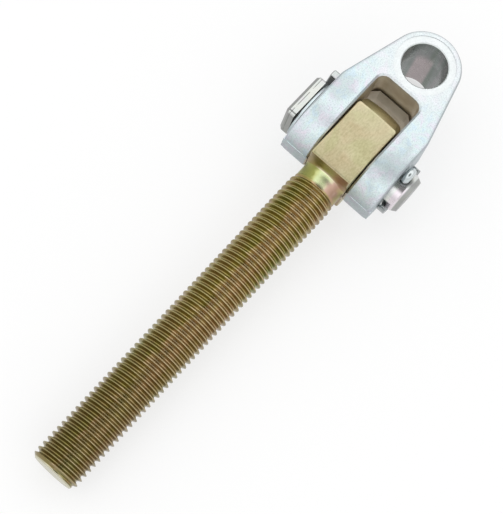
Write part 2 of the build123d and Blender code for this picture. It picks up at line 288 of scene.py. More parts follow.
def neck_mesh():
    """The plain neck, flaring to the knuckle's squarer section, closed inside the knuckle and at the thread."""
    start = -SHOULDER - FLARE_LENGTH
    inside = -SHOULDER + NECK_OVERLAP
    places = [THREAD_END + share * (start - THREAD_END) for share in np.linspace(0.1, 0.9, NECK_RINGS)]
    places += [start + FLARE_LENGTH * math.sin(turn) for turn in np.linspace(0, math.pi / 2, FLARE_RINGS)]
    profile = [(THREAD_END, 0.0), (THREAD_END, NECK_R), *((place, NECK_R) for place in places),
               (inside, NECK_R), (inside, 0.0)]
    points = revolved(profile, TURN_STEPS)
    along = np.clip((points[:, 0] - THREAD_END) / (-SHOULDER - THREAD_END), 0.0, 1.0)
    fillet = np.clip((points[:, 0] - start) / FLARE_LENGTH, 0.0, 1.0)
    rise = FLARE_EARLY * along ** FLARE_EARLY_POWER + (1 - FLARE_EARLY) * (1 - np.sqrt(1 - fillet ** 2))
    turn = np.arctan2(points[:, 2], points[:, 1])
    collar = (np.abs(np.cos(turn) / KNUCKLE_HALF_WIDTH) ** FLARE_SQUARENESS
              + np.abs(np.sin(turn) / FLARE_HALF_HEIGHT) ** FLARE_SQUARENESS) ** (-1 / FLARE_SQUARENESS)
    points[:, 1:] *= (1 + rise * (collar / NECK_R - 1))[:, None]
    side = KNUCKLE_HALF_WIDTH - NECK_FLUSH
    points[:, 1] = np.clip(points[:, 1], -side, side)
    return points, grid_faces(len(profile), TURN_STEPS, False, True)


def delete_loose(work):
    """Takes out the points that no face uses."""
    bmesh.ops.delete(work, geom=[vert for vert in work.verts if not vert.link_faces], context="VERTS")


def threaded_rod():
    """Thread, neck and knuckle as one closed mesh."""
    knuckle = new_object("knuckle_stock", *knuckle_mesh())
    neck = new_object("neck_stock", *neck_mesh())
    union = knuckle.modifiers.new("neck", "BOOLEAN")
    union.operation = "UNION"
    union.solver = "EXACT"
    union.object = neck
    bake_modifiers(knuckle)
    bpy.data.objects.remove(neck)

    work = bmesh.new()
    work.from_mesh(knuckle.data)
    inner = [face for face in work.faces
             if abs(face.calc_center_median().x - THREAD_END * MM) < SAME_POINT]
    bmesh.ops.delete(work, geom=inner, context="FACES")
    delete_loose(work)
    for points, faces in (thread_surface(), end_disc()):
        verts = [work.verts.new(Vector(point) * MM) for point in points]
        for face in faces:
            work.faces.new([verts[index] for index in face])
    bmesh.ops.remove_doubles(work, verts=work.verts, dist=SAME_SEAM_POINT)
    bmesh.ops.dissolve_degenerate(work, edges=work.edges, dist=NO_LENGTH)
    delete_loose(work)
    bmesh.ops.recalc_face_normals(work, faces=work.faces)
    mesh = bpy.data.meshes.new("rod_forging")
    work.to_mesh(mesh)
    work.free()
    bpy.data.objects.remove(knuckle)
    mesh.transform(ROD_PLACE)
    rod = bpy.data.objects.new("rod_forging", mesh)
    bpy.context.scene.collection.objects.link(rod)
    smooth(rod, sharp_deg=40)
    weighted = rod.modifiers.new("even_shading", "WEIGHTED_NORMAL")
    weighted.keep_sharp = True
    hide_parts("threaded_rod")
    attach(rod, "rod")
    return rod


def burr_lines():
    """The fine ridge left along the upper edge of the trimmed flash on each ear's end."""
    around = np.linspace(0, 2 * np.pi, BURR_STEPS + 1)[:-1]
    for side in (1, -1):
        rows = []
        for y, scale in BURR_RINGS:
            ring = BURR_R * scale
            rows.append(np.stack([FLASH_X + ring * np.cos(around), np.full(BURR_STEPS, side * y),
                                  FLASH_Z + ring * np.sin(around)], axis=-1))
        last_row = BURR_STEPS * (len(BURR_RINGS) - 1)
        ends = [list(range(BURR_STEPS)), list(range(last_row, last_row + BURR_STEPS))]
        faces = list(map(list, grid_faces(len(BURR_RINGS), BURR_STEPS, False, True))) + ends
        ridge = new_object("burr_line_left" if side > 0 else "burr_line_right", np.concatenate(rows), faces,
                           Matrix.Translation(PIVOT))
        smooth(ridge, sharp_deg=60)
        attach(ridge, "fork")
        yield ridge


def ear_pad():
    """The low round pad on the ear under the pin's head."""
    inner, outer, foot, top = PIN_R + PAD_GAP, PAD_R, EAR_Y - PAD_SINK, EAR_Y + PAD_STAND
    rim = outer - 2 * PAD_ROUND
    profile = [(foot, inner), (top - PAD_BEVEL, inner), (top, inner + PAD_BEVEL), (top, rim)]
    for turn in np.linspace(0.2, 1, 4) * np.pi / 2:
        profile.append((top - PAD_ROUND * (1 - np.cos(turn)), rim + PAD_ROUND * np.sin(turn)))
    profile.append((foot, outer + PAD_SPREAD))
    points = revolved(profile, TURN_STEPS)[:, [1, 0, 2]]
    pad = new_object("ear_pad", points, grid_faces(len(profile), TURN_STEPS, True, True),
                     Matrix.Translation(PIVOT))
    smooth(pad, sharp_deg=40)
    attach(pad, "fork")
    return pad


def arc(centre, radius, start_deg, end_deg):
    """Points of an arc in the wire's plane, as (x, z)."""
    steps = max(3, int(abs(end_deg - start_deg) / ARC_STEP_DEG))
    angle = np.radians(np.linspace(start_deg, end_deg, steps + 1))
    return np.stack([centre[0] + radius * np.cos(angle), centre[1] + radius * np.sin(angle)], axis=-1)


def wire_path():
    """The flat side of the split pin's wire: up one leg, round the loop and down the other."""
    bend_x = HALF_LEG_GAP + LEG_BEND_R
    bend_z = -math.sqrt((WRAP_R - LEG_BEND_R) ** 2 - bend_x**2)
    bend_deg = math.degrees(math.atan2(bend_x, -bend_z))
    spread_x = HALF_LEG_GAP + NECK_BEND_R
    loop_z = PIN_R + math.sqrt((NECK_BEND_R + LOOP_R) ** 2 - spread_x**2)
    spread_deg = math.degrees(math.atan2(loop_z - PIN_R, spread_x))
    rod_leg = [arc((0, 0), WRAP_R, -90 - WRAP_ROD_DEG, -90 - bend_deg),
               arc((-bend_x, bend_z), LEG_BEND_R, -90 - bend_deg, 0),
               arc((-spread_x, PIN_R), NECK_BEND_R, 0, spread_deg)]
    loop = arc((0, loop_z), LOOP_R, 180 + spread_deg, -spread_deg)
    eye_leg = [arc((spread_x, PIN_R), NECK_BEND_R, 180 - spread_deg, 180),
               arc((bend_x, bend_z), LEG_BEND_R, 180, 270 + bend_deg),
               arc((0, 0), WRAP_R, -90 + bend_deg, -90 + WRAP_EYE_DEG)]
    points = np.concatenate(rod_leg + [loop] + eye_leg)
    apart = np.hypot(*np.diff(points, axis=0).T) > 1e-3
    return points[np.concatenate([[True], apart])]


def split_pin():
    """The half-round wire swept along its path, with softened edges and blunt rounded tips."""
    path = wire_path()
    tangent = np.gradient(path, axis=0)
    tangent /= np.linalg.norm(tangent, axis=1)[:, None]
    bulge = np.stack([-tangent[:, 1], tangent[:, 0]], axis=-1)
    around = np.radians(np.linspace(WIRE_EDGE_DEG, 180 - WIRE_EDGE_DEG, WIRE_STEPS))
    across = np.concatenate([WIRE_R * np.cos(around), [-WIRE_R * WIRE_FLAT, WIRE_R * WIRE_FLAT]])
    outward = np.concatenate([WIRE_R * np.sin(around), [0.0, 0.0]])
    middle = WIRE_R * WIRE_MIDDLE
    rings = [(point, push, 1.0) for point, push in zip(path, bulge)]
    # blunt tips: the section shrinks over the last bit of each leg
    for end, sign in ((0, -1), (-1, 1)):
        point, push, along = path[end], bulge[end], tangent[end] * sign
        caps = [(point + along * TIP_LENGTH * reach, push, scale) for reach, scale in TIP_RINGS]
        rings = caps[::-1] + rings if sign < 0 else rings + caps
    points = []
    for point, push, scale in rings:
        out = middle + (outward - middle) * scale
        points.append(np.stack([point[0] + push[0] * out, across * scale, point[1] + push[1] * out], axis=-1))
    faces = grid_faces(len(rings), len(across), False, True)
    wire = new_object("split_pin_wire", np.concatenate(points), faces, SPLIT_PLACE)
    smooth(wire, sharp_deg=60)
    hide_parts("split_pin")
    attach(wire, "fork")
    return wire


# ---- materials ----------------------------------------------------------------------------------------

class Graph:
    """A material's or the world's node graph, with short ways to add what this part needs."""

    def __init__(self, tree):
        self.tree = tree
        self.tree.nodes.clear()

    def add(self, kind, inputs=None, **settings):
        node = self.tree.nodes.new(kind)
        for name, value in settings.items():
            setattr(node, name, value)
        for name, value in (inputs or {}).items():
            self.put(node.inputs[name], value)
        return node

    def put(self, socket, value):
        if isinstance(value, bpy.types.NodeSocket):
            self.tree.links.new(value, socket)
        else:
            socket.default_value = value

    def noise(self, where, scale, detail=2.0, roughness=0.5, distortion=0.0):
        return self.add("ShaderNodeTexNoise", {"Vector": where, "Scale": scale, "Detail": detail,
                                               "Roughness": roughness, "Distortion": distortion}).outputs["Fac"]

    def ramp(self, value, stops, interpolation="LINEAR"):
        node = self.add("ShaderNodeValToRGB", {"Fac": value})
        ramp = node.color_ramp
        ramp.interpolation = interpolation
        while len(ramp.elements) < len(stops):
            ramp.elements.new(0.5)
        for element, (place, colour) in zip(ramp.elements, stops):
            element.position = place
            element.color = (*colour, 1.0)
        return node.outputs["Color"]

    def mix(self, factor, first, second, blend="MIX"):
        node = self.add("ShaderNodeMix", data_type="RGBA", blend_type=blend)
        self.put(node.inputs["Factor"], factor)
        colours = [socket for socket in node.inputs if socket.type == "RGBA"]
        for socket, value in zip(colours, (first, second)):
            self.put(socket, (*value, 1.0) if isinstance(value, tuple) else value)
        return [socket for socket in node.outputs if socket.type == "RGBA"][0]

    def math(self, operation, first, second=0.0):
        node = self.add("ShaderNodeMath", operation=operation)
        self.put(node.inputs[0], first)
        self.put(node.inputs[1], second)
        return node.outputs[0]

    def size(self, value):
        return self.math("ABSOLUTE", value)

    def span(self, value, low, high, to_low=0.0, to_high=1.0, soft=True):
        """Maps low..high to to_low..to_high, clamped."""
        kind = "SMOOTHSTEP" if soft else "LINEAR"
        return self.add("ShaderNodeMapRange", {"Value": value, "From Min": low, "From Max": high,
                                               "To Min": to_low, "To Max": to_high},
                        interpolation_type=kind).outputs["Result"]

    def reach(self, length, edge, most=1.0):
        """How much a patch shows at a length in metres, for an edge given as a pair in millimetres."""
        start, full = edge
        return self.span(length, start * MM, full * MM, 0.0, most)

    def both(self, *masks):
        """Where all of the masks are."""
        result = masks[0]
        for mask in masks[1:]:
            result = self.math("MULTIPLY", result, mask)
        return result

    def either(self, first, second):
        """Where one or the other mask is."""
        return self.math("MAXIMUM", first, second)

    def cover(self, colour, mask, tint, strength):
        """Lays a tint over the colour where the mask is."""
        return self.mix(self.math("MULTIPLY", mask, strength), colour, tint)

    def stretched(self, where, scale):
        return self.add("ShaderNodeMapping", {"Vector": where, "Scale": scale}).outputs[0]

    def apart(self, where, point):
        return self.add("ShaderNodeVectorMath", {0: where, 1: tuple(point)}, operation="SUBTRACT").outputs[0]

    def length(self, vector, keep):
        """A vector's length along the axes that are kept."""
        kept = self.add("ShaderNodeVectorMath", {0: vector, 1: keep}, operation="MULTIPLY").outputs[0]
        return self.add("ShaderNodeVectorMath", {0: kept}, operation="LENGTH").outputs["Value"]

    def from_point(self, where, point):
        parts = self.add("ShaderNodeSeparateXYZ", {"Vector": self.apart(where, point)}).outputs
        return parts["X"], parts["Y"], parts["Z"]

    def facing(self):
        """Which way the surface faces, in the piece's own directions."""
        normal = self.add("ShaderNodeTexCoord").outputs["Normal"]
        return self.add("ShaderNodeSeparateXYZ", {"Vector": normal}).outputs

    def bump(self, height, distance_mm, strength):
        return self.add("ShaderNodeBump", {"Height": height, "Distance": distance_mm * MM,
                                           "Strength": strength}).outputs["Normal"]


def new_material(name, metallic=1.0):
    material = bpy.data.materials.new(name)
    material.use_nodes = True
    graph = Graph(material.node_tree)
    shader = graph.add("ShaderNodeBsdfPrincipled", {"Metallic": metallic})
    output = graph.add("ShaderNodeOutputMaterial")
    graph.put(output.inputs["Surface"], shader.outputs[0])
    coords = graph.add("ShaderNodeTexCoord").outputs["Object"]
    return material, graph, shader, coords


# Below, a list of stops goes along a noise or a direction, as (place, colour). An edge is a pair: where a
# patch starts to show and where it shows in full, in millimetres unless it is a share or an angle.

MIDDLE_NOISE = (0.3, 0.7)           # the range that a noise mostly stays in
PATTERN_WHITE = (1, 1, 1)

# fork, from the pivot, or from the eye's axis where the name says so
FORK_BLOOM = [(0.32, (0.70, 0.83, 0.90)), (0.45, (0.76, 0.87, 0.87)),
              (0.55, (0.77, 0.83, 0.88)), (0.68, (0.85, 0.82, 0.90))]
FORK_GRAIN = [(0.3, (0.55, 0.58, 0.60)), (0.55, PATTERN_WHITE)]
EYE_TINT, EYE_SURROUND = (0.86, 0.89, 0.90), (46, 18)
MACHINED_TINT, MACHINED_EDGE = (0.86, 0.89, 0.89), (SPOT_R + 0.1, SPOT_R - 0.3)
BORE_STREAKS = [(0.35, (0.35, 0.41, 0.35)), (0.5, (0.43, 0.48, 0.45)), (0.65, (0.53, 0.52, 0.52))]
BORE_EDGE = (16.3, 16.1)
# a painted reflection: a bright stripe down the bore's wall, on the side away from the rod
BORE_REFLECTION_TINT = (0.94, 0.78, 0.79)
STRIPE_LEFT, STRIPE_RIGHT, STRIPE_TOP, STRIPE_FADE = (11.5, 9.5), (-2.5, 0.0), (14, 2), 4
# painted shade on the walls, and on the rounded edges away from the eye, by how far they lean
WALL_SHADE_TINT = (0.10, 0.10, 0.11)
WALL_LEAN, ROUNDING_LEAN, ROUNDING_SIDE = (0.65, 0.2), (0.97, 0.85), (-0.35, -0.1)
ROUNDING_OFF_EYE = (23, 25)
LUG_TINT, LUG_FOOT, LUG_BACK = (0.66, 0.64, 0.60), (38.2, 38.6), (20.8, 21.0)
# painted shade along the lug's edges
LUG_EDGE_SHADE, LUG_SIDE_EDGE, LUG_TOP_EDGE = (0.10, 0.10, 0.10), (1.7, 2.5), (42.3, 43.2)
# darker places on the ears, as x, y, radius and strength; the radius wavers
EAR_PATCHES = [(-2, -28, 24, 0.4), (14, 28, 16, 0.24)]
EAR_PATCH_TINT, EAR_PATCH_CORE, EAR_PATCH_WAVER = (0.30, 0.34, 0.36), 0.2, 6
# the walls of the slot, browner; its ledge and the lands beside the flash line are darker
SLOT_BROWN = [(0.35, (0.60, 0.51, 0.38)), (0.65, (0.71, 0.64, 0.51))]
SLOT_WALL, SLOT_END, SLOT_RIM = (18.6, 17.4), (44.5, 43.3), (28.9, 27.5)
SLOT_SHADE = (0.05, 0.04, 0.03)
FACING_UP, FACING_ROD = (0.3, 0.6), (-0.4, -0.8)
LEDGE_TOP, LAND_TOP = (12, 9), (FLASH_Z + 0.4, FLASH_Z)
BESIDE_LEDGE, BELOW_LAND = (6, 1), (-FLASH_Z, -FLASH_Z - 1.5)
# painted shade in the gap under the pin's head, round the pad and as far as the lug
GAP_SHADE_TINT = (0.03, 0.03, 0.03)
GAP_FOOT, GAP_TOP, GAP_BACK, GAP_ROUND = (36.9, 37.4), (38.7, 38.2), (21.2, 20.9), (27, 22)
LUG_GAP_FRONT, LUG_GAP_HEIGHT = (15, 17), (18.8, 17)


def fork_zinc():
    """Bright zinc over a fine-grained forged skin, with a faint blue, green and pink bloom, painted shade on its
    walls, edges, slot and under the pin's head, and a painted reflection in its bore.
    """
    material, graph, shader, coords = new_material("fork_zinc", metallic=0.8)
    x, y, z = graph.from_point(coords, PIVOT)
    tint = graph.ramp(graph.noise(coords, scale=130, detail=3, roughness=0.6, distortion=0.4), FORK_BLOOM)
    from_eye = graph.length(graph.apart(coords, EYE), (1, 1, 0))
    colour = graph.mix(graph.reach(from_eye, EYE_SURROUND, most=0.7), tint, EYE_TINT)
    grain = graph.noise(coords, scale=1100, detail=2, roughness=0.6)
    colour = graph.mix(0.5, colour, graph.ramp(grain, FORK_GRAIN), "MULTIPLY")

    # machined face and bore of the eye
    colour = graph.cover(colour, graph.reach(from_eye, MACHINED_EDGE), MACHINED_TINT, strength=0.65)
    in_bore = graph.reach(from_eye, BORE_EDGE)
    streaks = graph.noise(graph.stretched(coords, (160, 160, 14)), scale=1.0, detail=2)
    bored = graph.ramp(streaks, BORE_STREAKS)
    # painted reflection: a bright stripe of light down the bore's wall, away from the rod
    eye_x = EYE.x - PIVOT.x
    stripe = graph.both(graph.span(x, eye_x, eye_x + STRIPE_FADE * MM), graph.reach(y, STRIPE_LEFT),
                        graph.reach(y, STRIPE_RIGHT), graph.reach(z, STRIPE_TOP))
    bored = graph.cover(bored, stripe, BORE_REFLECTION_TINT, strength=0.75)
    colour = graph.mix(in_bore, colour, bored)

    # painted shade on the walls and rounded edges; the duller lug, with painted shade along its edges; darker
    # patches on the ears
    level = graph.size(graph.facing()["Z"])
    rounding = graph.both(graph.span(level, *ROUNDING_LEAN), graph.span(graph.facing()["X"], *ROUNDING_SIDE),
                          graph.reach(from_eye, ROUNDING_OFF_EYE))
    wall_and_edge_shade = graph.either(graph.span(level, *WALL_LEAN), rounding)
    colour = graph.cover(colour, wall_and_edge_shade, WALL_SHADE_TINT, strength=0.42)
    on_lug = graph.both(graph.reach(y, LUG_FOOT), graph.reach(x, LUG_BACK))
    colour = graph.cover(colour, on_lug, LUG_TINT, strength=0.5)
    off_lug = graph.size(graph.math("SUBTRACT", x, LUG_X * MM))
    # painted shade along the lug's edges
    lug_edge_shade = graph.either(graph.reach(off_lug, LUG_SIDE_EDGE), graph.reach(y, LUG_TOP_EDGE))
    colour = graph.cover(colour, graph.both(on_lug, lug_edge_shade), LUG_EDGE_SHADE, strength=0.65)
    for ear_patch_x, ear_patch_y, radius, strength in EAR_PATCHES:
        place = PIVOT + Vector((ear_patch_x, ear_patch_y, 0)) * MM
        away = graph.length(graph.apart(coords, place), (1, 1, 0))
        waver = graph.span(graph.noise(coords, scale=80, detail=2), *MIDDLE_NOISE,
                           -EAR_PATCH_WAVER * MM, EAR_PATCH_WAVER * MM)
        away = graph.math("ADD", away, waver)
        ear_patch = graph.reach(away, (radius, EAR_PATCH_CORE * radius), strength)
        colour = graph.mix(ear_patch, colour, EAR_PATCH_TINT)

    # the slot
    in_slot = graph.both(graph.reach(graph.size(y), SLOT_WALL), graph.reach(x, SLOT_END),
                         graph.reach(graph.size(z), SLOT_RIM))
    brown = graph.ramp(graph.noise(coords, scale=90, detail=2), SLOT_BROWN)
    shade = graph.both(graph.span(graph.facing()["Z"], *FACING_UP), graph.reach(z, LEDGE_TOP))
    land = graph.both(graph.span(graph.facing()["X"], *FACING_ROD), graph.reach(graph.size(z), LAND_TOP))
    off_ledge = graph.size(graph.math("SUBTRACT", z, FLASH_Z * MM))
    by_ledge = graph.both(graph.span(graph.facing()["X"], *FACING_ROD), graph.reach(off_ledge, BESIDE_LEDGE))
    for place, strength in ((land, 0.4), (by_ledge, 0.4), (graph.reach(z, BELOW_LAND), 0.3)):
        shade = graph.either(shade, graph.math("MULTIPLY", place, strength))
    brown = graph.cover(brown, shade, SLOT_SHADE, strength=0.92)
    colour = graph.mix(in_slot, colour, brown)

    # painted shade in the gap under the pin's head
    from_pivot = graph.length(graph.apart(coords, PIVOT), (1, 0, 1))
    by_lug = graph.both(graph.reach(x, LUG_GAP_FRONT), graph.reach(graph.size(z), LUG_GAP_HEIGHT))
    under_head_shade = graph.both(graph.reach(y, GAP_FOOT), graph.reach(y, GAP_TOP), graph.reach(x, GAP_BACK),
                            graph.either(graph.reach(from_pivot, GAP_ROUND), by_lug))
    colour = graph.cover(colour, under_head_shade, GAP_SHADE_TINT, strength=0.95)
    graph.put(shader.inputs["Base Color"], colour)

    rough = graph.span(graph.noise(coords, scale=120, detail=2), *MIDDLE_NOISE, to_low=0.42, to_high=0.52)
    graph.put(shader.inputs["Roughness"], graph.math("SUBTRACT", rough, graph.math("MULTIPLY", in_bore, 0.18)))
    pits = graph.noise(coords, scale=620, detail=2)
    graph.put(shader.inputs["Normal"], graph.bump(pits, distance_mm=0.16, strength=0.7))
    return material


# pivot pin, from the pivot: its head is towards +Y and its other end, with the split pin, towards -Y
PIN_BLOOM = [(0.3, (0.72, 0.67, 0.72)), (0.5, (0.68, 0.71, 0.69)), (0.7, (0.74, 0.74, 0.70))]
HEAD_TINT, HEAD_FOOT = (0.40, 0.42, 0.38), (41.4, 41.6)
BEVEL_LEAN, TAIL_BEVEL, HEAD_SIDE_LEAN = (0.1, 0.4), (-45.9, -46.7), (0.6, 0.2)
ROSE_TINT, ROSE_START, ROSE_SIDE, ROSE_END = (0.76, 0.68, 0.74), (-40, -42), (0.0, -5), (-46.6, -45.6)
# painted shade on the bevels and the head's sides, which are also rougher
BEVEL_SHADE_TINT, MOST_DULL_AND_SHADE = (0.12, 0.115, 0.11), 0.55
# a broken line round the head, where its blank was sheared
SEAM_TINT, SEAM_Y, SEAM_EDGE, SEAM_BREAKS = (0.10, 0.10, 0.09), 45.0, (0.45, 0.15), (0.38, 0.5)
# painted shade on the pin between the ear and its head, and round the split pin's hole
PIN_GAP_SHADE, PIN_GAP_FOOT, PIN_GAP_TOP, HOLE_EDGE = (0.03, 0.035, 0.03), (36.5, 37.5), (41.6, 41.4), (6.5, 3.4)


def pin_zinc():
    """Bright zinc over a turned surface, rougher and with painted shade on the bevels and the head's sides, and
    painted shade where the head stands off the ear and round the split pin's hole.
    """
    material, graph, shader, coords = new_material("pin_zinc")
    x, y, _ = graph.from_point(coords, PIVOT)
    tint = graph.ramp(graph.noise(coords, scale=90, detail=2, roughness=0.6, distortion=0.5), PIN_BLOOM)
    facing = graph.facing()
    in_head = graph.reach(y, HEAD_FOOT)
    tint = graph.cover(tint, in_head, HEAD_TINT, strength=0.3)
    # painted shade, with more roughness, on the bevels and the head's sides
    bevel = graph.both(graph.span(graph.size(facing["Y"]), *BEVEL_LEAN),
                       graph.either(in_head, graph.reach(y, TAIL_BEVEL)))
    rosy = graph.both(graph.reach(y, ROSE_START), graph.reach(x, ROSE_SIDE), graph.reach(y, ROSE_END))
    tint = graph.cover(tint, rosy, ROSE_TINT, strength=0.8)
    head_side = graph.both(in_head, graph.span(graph.size(facing["Z"]), *HEAD_SIDE_LEAN))
    dull_and_shade = graph.math("MULTIPLY", graph.either(bevel, head_side), MOST_DULL_AND_SHADE)
    colour = graph.mix(dull_and_shade, tint, BEVEL_SHADE_TINT)
    off_seam = graph.size(graph.math("SUBTRACT", y, SEAM_Y * MM))
    seam = graph.both(graph.reach(off_seam, SEAM_EDGE),
                      graph.span(graph.noise(coords, scale=160, detail=2), *SEAM_BREAKS))
    colour = graph.cover(colour, seam, SEAM_TINT, strength=0.6)
    # painted shade in the gap under the head and round the split pin's hole
    gap = graph.both(graph.reach(y, PIN_GAP_FOOT), graph.reach(y, PIN_GAP_TOP))
    lean = Vector((math.sin(SPLIT_LEAN), 0, math.cos(SPLIT_LEAN)))
    hole = PIVOT + Vector((0, SPLIT_Y * MM, 0))
    off_axis = graph.add("ShaderNodeVectorMath", {0: graph.apart(coords, hole), 1: tuple(lean)},
                         operation="CROSS_PRODUCT").outputs[0]
    hole_shade = graph.reach(graph.length(off_axis, (1, 1, 1)), HOLE_EDGE)
    colour = graph.cover(colour, graph.either(gap, hole_shade), PIN_GAP_SHADE, strength=0.85)
    graph.put(shader.inputs["Base Color"], colour)
    graph.put(shader.inputs["Roughness"], graph.span(dull_and_shade, 0.0, MOST_DULL_AND_SHADE, to_low=0.2, to_high=0.4))
    turned = graph.noise(graph.stretched(coords, (60, 2500, 60)), scale=1.0, detail=2)
    graph.put(shader.inputs["Normal"], graph.bump(turned, distance_mm=0.03, strength=0.5))
    return material


WIRE_BLOOM = [(0.3, (0.54, 0.60, 0.62)), (0.7, (0.66, 0.70, 0.70))]
# painted shade on the wire below its loop
WIRE_LOW_SHADE, WIRE_LOW = (0.12, 0.12, 0.12), (13, 8)       # darker below its loop


def split_pin_zinc():
    """Bright drawn wire, with painted shade below its loop."""
    material, graph, shader, coords = new_material("split_pin_zinc")
    tint = graph.ramp(graph.noise(coords, scale=150, detail=2), WIRE_BLOOM)
    _, _, z = graph.from_point(coords, PIVOT)
    # painted shade below the loop
    low = graph.reach(z, WIRE_LOW, most=0.6)
    graph.put(shader.inputs["Base Color"], graph.mix(low, tint, WIRE_LOW_SHADE))
    graph.put(shader.inputs["Roughness"], 0.24)
    drawn = graph.noise(coords, scale=500, detail=2)
    graph.put(shader.inputs["Normal"], graph.bump(drawn, distance_mm=0.05, strength=0.5))
    return material


# rod, in its own frame; angles in radians from its top, towards +Y
ANGLE_WAVER = 0.2
THREAD_BANDS = [(0.32, (0.25, 0.25, 0.07)), (0.43, (0.36, 0.29, 0.10)),
                (0.54, (0.38, 0.26, 0.13)), (0.68, (0.30, 0.27, 0.08))]
# olive with painted shade down one side of the thread's top; a painted highlight across its top
OLIVE_SHADE_TINT, OLIVE_FROM, OLIVE_TO = (0.23, 0.20, 0.06), (0.02, 0.22), (1.5, 1.1)
TOP_HIGHLIGHT_TINT, PALE_FROM, PALE_TO = (0.66, 0.52, 0.34), (0.2, 0.02), (-0.9, -0.35)
# painted highlights on the crests, with painted shade on the olive side and towards the rod's sides
CREST_EDGE, CREST_HIGHLIGHT_TINT, CREST_OLIVE_SHADE_TINT = (17.1, 17.43), (0.56, 0.46, 0.28), (0.37, 0.33, 0.16)
CREST_SIDE_SHADE_TINT, CREST_SIDE = (0.27, 0.24, 0.14), (1.0, 1.45)
# painted shade on the flank under each crest, on its free-end side
FLANK_SHADE_TINT, FLANK_FOOT, FLANK_TOP, FLANK_SIDE = (0.05, 0.04, 0.02), (15.4, 16.6), (17.3, 16.9), (-0.25, -0.5)
FAR_TINT, FAR_EDGE = (0.08, 0.07, 0.03), (-120, -270)
# the neck's passivation colour, with painted reflections and shade, all the way round its upper half, and a
# painted highlight along its flare
NECK_RAMP_ANGLE = 1.6
NECK_FILM_AND_REFLECTIONS = [(0.0, (0.34, 0.20, 0.15)), (0.10, (0.42, 0.38, 0.15)), (0.22, (0.46, 0.29, 0.21)),
             (0.33, (0.62, 0.43, 0.34)), (0.40, (0.74, 0.66, 0.46)), (0.49, (0.66, 0.74, 0.42)),
             (0.55, (0.54, 0.56, 0.24)), (0.60, (0.30, 0.31, 0.09)), (0.92, (0.34, 0.33, 0.11))]
FLARE_HIGHLIGHT_TINT, LINE_FROM, LINE_TO = (1.0, 0.92, 0.68), (0.25, 0.4), (0.68, 0.55)
LINE_START, LINE_END = (-SHOULDER - 2.6, -SHOULDER - 1.9), (-SHOULDER - 0.6, -SHOULDER - 1.4)
NECK_EDGE = (THREAD_END - 1.5, THREAD_END)
# knuckle: a blotchy, brushed straw
STRAW = [(0.35, (0.57, 0.50, 0.31)), (0.65, (0.66, 0.59, 0.39))]
STRAW_BLOOM = [(0.36, (0.93, 1.0, 0.90)), (0.5, PATTERN_WHITE), (0.64, (1.0, 0.93, 0.91))]
STRAW_GRAIN = [(0.3, (0.6, 0.57, 0.5)), (0.6, PATTERN_WHITE)]
LIGHT_STRAW, LIGHT_STRAW_EDGE = (0.95, 0.92, 0.68), (-8, 22)
DARK_STRAW, DARK_STRAW_EDGE = (0.26, 0.22, 0.10), (-12, -28)
# painted highlight on the knuckle's round end, where it faces the fork's eye
ROUND_END_HIGHLIGHT, ROUND_END_LEAN, ROUND_END_EDGE = (0.94, 0.86, 0.52), (0.3, 0.6), (10, 14)
KNUCKLE_EDGE = (-SHOULDER - 1.2, -SHOULDER + 0.6)
# the step up to the knuckle's flats: browner, with painted shade
BACK_BROWN_AND_SHADE, BACK_LEAN, BACK_EDGE = (0.26, 0.15, 0.06), (-0.6, -0.85), (THREAD_END, -SHOULDER)
END_RINGS = [(0.35, (0.40, 0.38, 0.26)), (0.6, (0.62, 0.59, 0.44))]
END_FACE_EDGE = (FREE_END + 1.3, FREE_END + 0.7)


